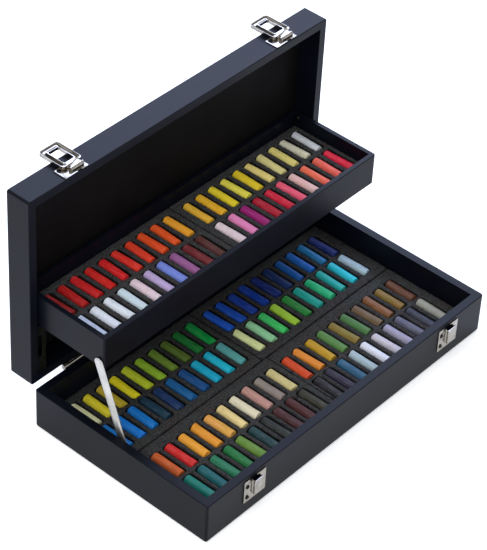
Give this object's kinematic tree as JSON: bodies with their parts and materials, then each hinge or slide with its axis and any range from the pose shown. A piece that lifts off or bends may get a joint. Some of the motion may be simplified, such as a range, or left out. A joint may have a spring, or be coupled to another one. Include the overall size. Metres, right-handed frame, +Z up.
{
  "type": "pastel drawer box",
  "caption": "Flat black case for half-stick pastels with a hinged lid, foam pads in its base and in a tray that rises with the lid on one steel arm, and two loop latches",
  "frame": {"origin": "Middle of the base's flat underside, with the lid open", "axes": "+X right along the long front, -Y front, +Z up"},
  "size_m": [0.4, 0.266, 0.2682],
  "materials": {
    "black_paint": "satin",
    "foam": "matt charcoal foam",
    "plated_steel": "polished nickel plate",
    "bright_steel": "bright",
    "dark_steel": "black",
    "pastels_tray_rear": "chalky, many colours",
    "pastels_tray_front": "chalky, many colours",
    "pastels_base_row_1": "chalky, many colours",
    "pastels_base_row_2": "chalky, many colours",
    "pastels_base_row_3": "chalky, many colours",
    "pastels_base_row_4": "chalky, many colours"
  },
  "bodies": {
    "base": {"arm_foot_pin": "bright_steel", "base_bottom_panel": "black_paint", "base_foam_front_left": "foam", "base_foam_front_right": "foam", "base_foam_rear_left": "foam", "base_foam_rear_right": "foam", "base_front_wall": "black_paint", "base_left_wall": "black_paint", "base_rear_wall": "black_paint", "base_right_wall": "black_paint", "hinge_base_leaf_left": "plated_steel", "hinge_base_leaf_right": "plated_steel", "hinge_base_screws": "plated_steel", "hinge_pin_left": "plated_steel", "hinge_pin_right": "plated_steel", "latch_catch_left": "plated_steel", "latch_catch_right": "plated_steel", "latch_catch_screws": "plated_steel", "pastels_base_row_1": "pastels_base_row_1", "pastels_base_row_2": "pastels_base_row_2", "pastels_base_row_3": "pastels_base_row_3", "pastels_base_row_4": "pastels_base_row_4"},
    "lid": {"hinge_lid_leaf_left": "plated_steel", "hinge_lid_leaf_right": "plated_steel", "hinge_lid_screws": "plated_steel", "latch_pin_left": "plated_steel", "latch_pin_right": "plated_steel", "latch_plate_left": "plated_steel", "latch_plate_right": "plated_steel", "latch_plate_screws": "plated_steel", "lid_front_wall": "black_paint", "lid_left_wall": "black_paint", "lid_panel": "black_paint", "lid_rear_wall": "black_paint", "lid_right_wall": "black_paint", "tray_pivot_left": "plated_steel", "tray_pivot_right": "plated_steel", "tray_stop": "dark_steel", "tray_stop_screw": "dark_steel"},
    "tray": {"pastels_tray_front": "pastels_tray_front", "pastels_tray_rear": "pastels_tray_rear", "tray_bottom_panel": "black_paint", "tray_foam_left": "foam", "tray_foam_right": "foam", "tray_front_wall": "black_paint", "tray_left_wall": "black_paint", "tray_rear_wall": "black_paint", "tray_right_wall": "black_paint"},
    "arm": {"tray_arm": "bright_steel", "arm_head_rivet": "bright_steel"},
    "loop_left": {"latch_loop_left": "plated_steel"},
    "loop_right": {"latch_loop_right": "plated_steel"}
  },
  "joints": [
    {"name": "lid_hinge", "type": "hinge", "parent": "base", "child": "lid", "pos_m": [0, 0.1107, 0.0445], "axis": [1, 0, 0], "range_deg": [0, 90]},
    {"name": "tray_pivot", "type": "hinge", "parent": "lid", "child": "tray", "pos_m": [0, 0.1259, 0.1446], "axis": [1, 0, 0], "range_deg": [-90, 0]},
    {"name": "arm_foot", "type": "hinge", "parent": "base", "child": "arm", "pos_m": [-0.1912, 0.00479, 0.041], "axis": [1, 0, 0], "range_deg": [0, 115.97]},
    {"name": "latch_left", "type": "hinge", "parent": "lid", "child": "loop_left", "pos_m": [-0.1358, 0.1173, 0.2662], "axis": [1, 0, 0], "range_deg": [0, 180]},
    {"name": "latch_right", "type": "hinge", "parent": "lid", "child": "loop_right", "pos_m": [0.1456, 0.1173, 0.2662], "axis": [1, 0, 0], "range_deg": [0, 180]}
  ],
  "couplings": [
    {"joint": "tray_pivot", "follows": "lid_hinge", "ratio": -1},
    {"joint": "arm_foot", "follows": "lid_hinge", "ratio": 1.2885}
  ]
}
